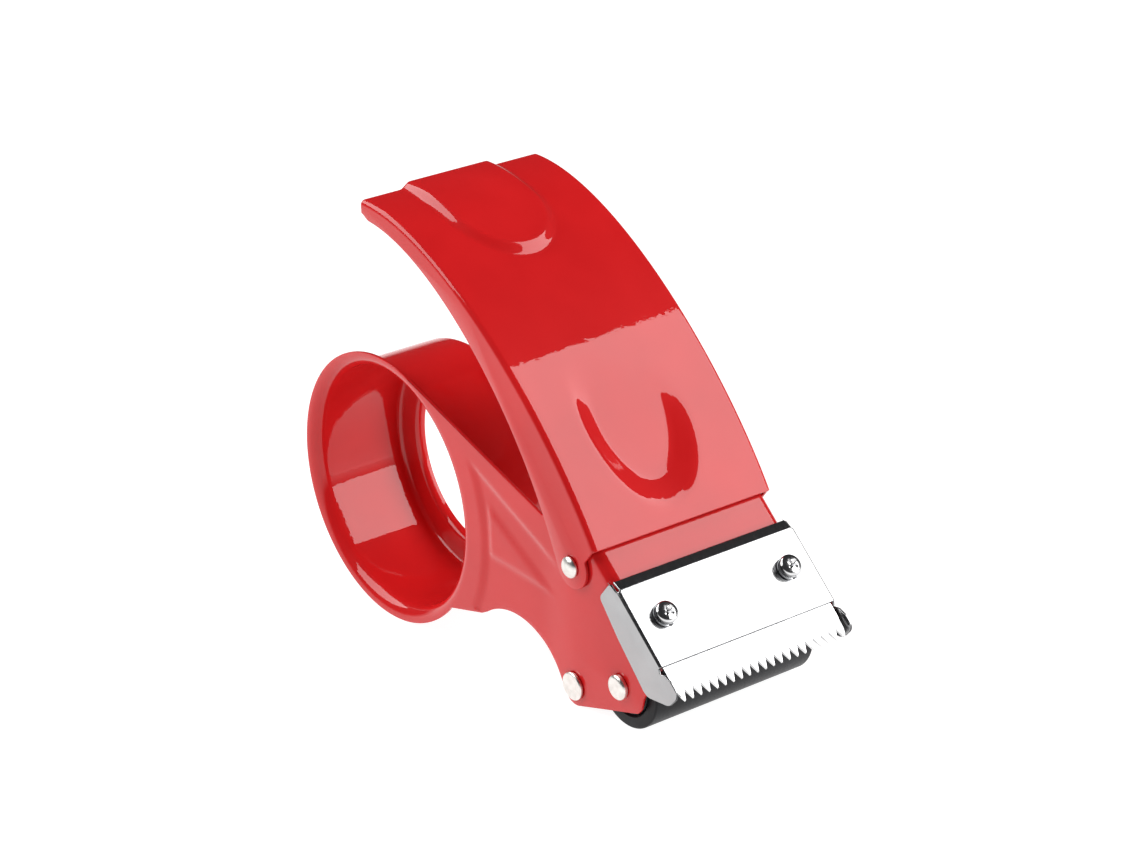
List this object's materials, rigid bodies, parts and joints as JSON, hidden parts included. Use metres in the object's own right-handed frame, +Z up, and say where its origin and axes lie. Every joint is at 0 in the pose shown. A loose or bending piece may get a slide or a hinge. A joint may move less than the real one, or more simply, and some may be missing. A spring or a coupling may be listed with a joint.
{
  "type": "packing tape dispenser",
  "caption": "Hand-held packing tape dispenser: pressed-steel body with a tape drum, curved handle, screwed blade cover, serrated blade and rubber press roller.",
  "frame": {"origin": "middle of the bounding box, on the surface that the drum's rim and the press roller stand on", "axes": "+X forward to the blade, +Y across to the side that the tape roll is loaded from, +Z up"},
  "size_m": [0.1732, 0.067, 0.1305],
  "materials": {
    "red_paint": "gloss red enamel on sheet steel",
    "zinc": "bright zinc-plated steel",
    "nickel": "satin nickel plate",
    "blade_steel": "bright hardened steel",
    "black_rubber": "smooth black rubber",
    "black_plastic": "moulded black plastic"
  },
  "bodies": {
    "dispenser": {"body_frame": "red_paint", "handle": "red_paint", "handle_rivet_near": "zinc", "handle_rivet_far": "zinc", "blade_cover": "nickel", "cutting_blade": "blade_steel", "blade_screw_near": "zinc", "blade_screw_far": "zinc", "lock_washer_near": "zinc", "lock_washer_far": "zinc", "blade_nut_near": "zinc", "blade_nut_far": "zinc", "roller_axle": "zinc", "roller_washer_near": "zinc", "roller_washer_far": "zinc", "guide_shaft": "zinc"},
    "press_roller": {"roller_sleeve": "black_rubber", "roller_core": "black_plastic", "roller_bush_near": "zinc", "roller_bush_far": "zinc"},
    "tape_guide": {"guide_roller": "black_plastic"}
  },
  "joints": [
    {"name": "press_roller_spin", "type": "hinge", "parent": "dispenser", "child": "press_roller", "pos_m": [0.06105, 0, 0.0128], "axis": [0, 1, 0], "continuous": true},
    {"name": "guide_roller_spin", "type": "hinge", "parent": "dispenser", "child": "tape_guide", "pos_m": [0.04035, 0, 0.0063], "axis": [0, 1, 0], "continuous": true}
  ]
}
